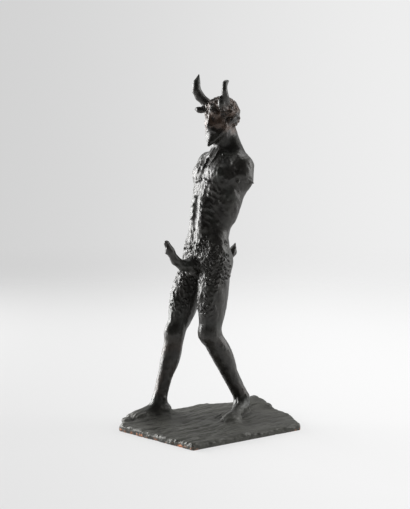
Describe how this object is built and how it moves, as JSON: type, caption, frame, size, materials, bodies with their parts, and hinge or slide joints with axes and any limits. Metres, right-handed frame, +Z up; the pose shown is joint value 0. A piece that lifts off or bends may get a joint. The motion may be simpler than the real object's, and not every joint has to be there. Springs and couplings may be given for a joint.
{
  "type": "satyr statue",
  "caption": "Bronze satyr striding on a rough rectangular plate, bearded and horned, with furred hips, a short tail and arms broken off below the shoulder",
  "frame": {"origin": "middle of the whole object's bounding box, on the plate's underside", "axes": "+Z up; the figure faces -Y and its left side is +X; the plate's long edges run along Y"},
  "size_m": [0.1668, 0.2214, 0.4574],
  "materials": {
    "bronze": "cast bronze with a brown-black patina, satin, warmer brown on the head and worn to copper at the plate's edges, with tool marks all over"
  },
  "bodies": {
    "root": {"satyr_statue": "bronze"}
  },
  "joints": []
}
